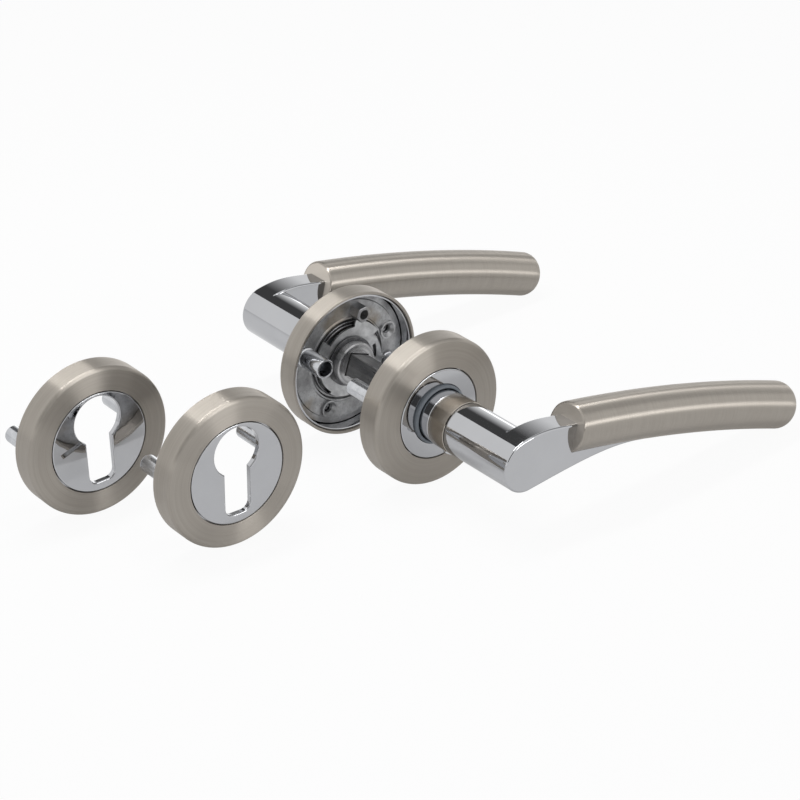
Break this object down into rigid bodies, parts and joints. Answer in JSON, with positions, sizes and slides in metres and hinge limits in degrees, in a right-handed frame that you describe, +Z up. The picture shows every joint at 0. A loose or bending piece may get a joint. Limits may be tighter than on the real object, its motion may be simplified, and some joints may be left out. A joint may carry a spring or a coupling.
{
  "type": "door lever handle set",
  "caption": "Lever door handles on round roses joined by a square spindle, with sprung turning levers, and round keyhole escutcheons with fixing posts.",
  "frame": {"origin": "on the spindle's axis, halfway through the door", "axes": "+Y along the spindle from the outside handle towards the inside one, +X towards the levers' ends, +Z up"},
  "size_m": [0.2553, 0.1556, 0.0536],
  "materials": {
    "satin_nickel": "warm satin nickel, brushed round on the roses and lengthwise on the grips",
    "polished_chrome": "polished chrome plate",
    "zinc_casting": "bare die-cast zinc, matt grey",
    "grey_nylon": "grey nylon",
    "dark_steel": "dark oiled steel",
    "plated_steel": "bright zinc plated steel"
  },
  "bodies": {
    "roses": {"outside_rose_cover": "satin_nickel", "outside_rose_insert": "polished_chrome", "outside_rose_base": "zinc_casting", "outside_neck_bush": "grey_nylon", "outside_return_spring": "dark_steel", "outside_post_right": "plated_steel", "outside_post_left": "plated_steel", "inside_rose_cover": "satin_nickel", "inside_rose_insert": "polished_chrome", "inside_rose_base": "zinc_casting", "inside_neck_bush": "grey_nylon", "inside_return_spring": "dark_steel", "inside_post_right": "plated_steel", "inside_post_left": "plated_steel", "left_escutcheon_cover": "satin_nickel", "left_escutcheon_key_insert": "polished_chrome", "left_escutcheon_base": "zinc_casting", "left_escutcheon_post_right": "plated_steel", "left_escutcheon_post_left": "plated_steel", "right_escutcheon_cover": "satin_nickel", "right_escutcheon_key_insert": "polished_chrome", "right_escutcheon_base": "zinc_casting", "right_escutcheon_post_right": "plated_steel", "right_escutcheon_post_left": "plated_steel"},
    "levers": {"outside_drive_plate": "plated_steel", "outside_circlip": "dark_steel", "outside_follower": "polished_chrome", "outside_lever_arm": "polished_chrome", "outside_neck_collar": "satin_nickel", "outside_grub_screw": "plated_steel", "outside_lever_grip": "satin_nickel", "inside_drive_plate": "plated_steel", "inside_circlip": "dark_steel", "inside_follower": "polished_chrome", "inside_lever_arm": "polished_chrome", "inside_neck_collar": "satin_nickel", "inside_grub_screw": "plated_steel", "inside_lever_grip": "satin_nickel", "spindle": "dark_steel"}
  },
  "joints": [
    {"name": "lever_turn", "type": "hinge", "parent": "roses", "child": "levers", "pos_m": [0, 0, 0], "axis": [0, 1, 0], "range_deg": [-45, 45], "stiffness_Nm_per_rad": 2.5, "springref_deg": -8.59}
  ]
}
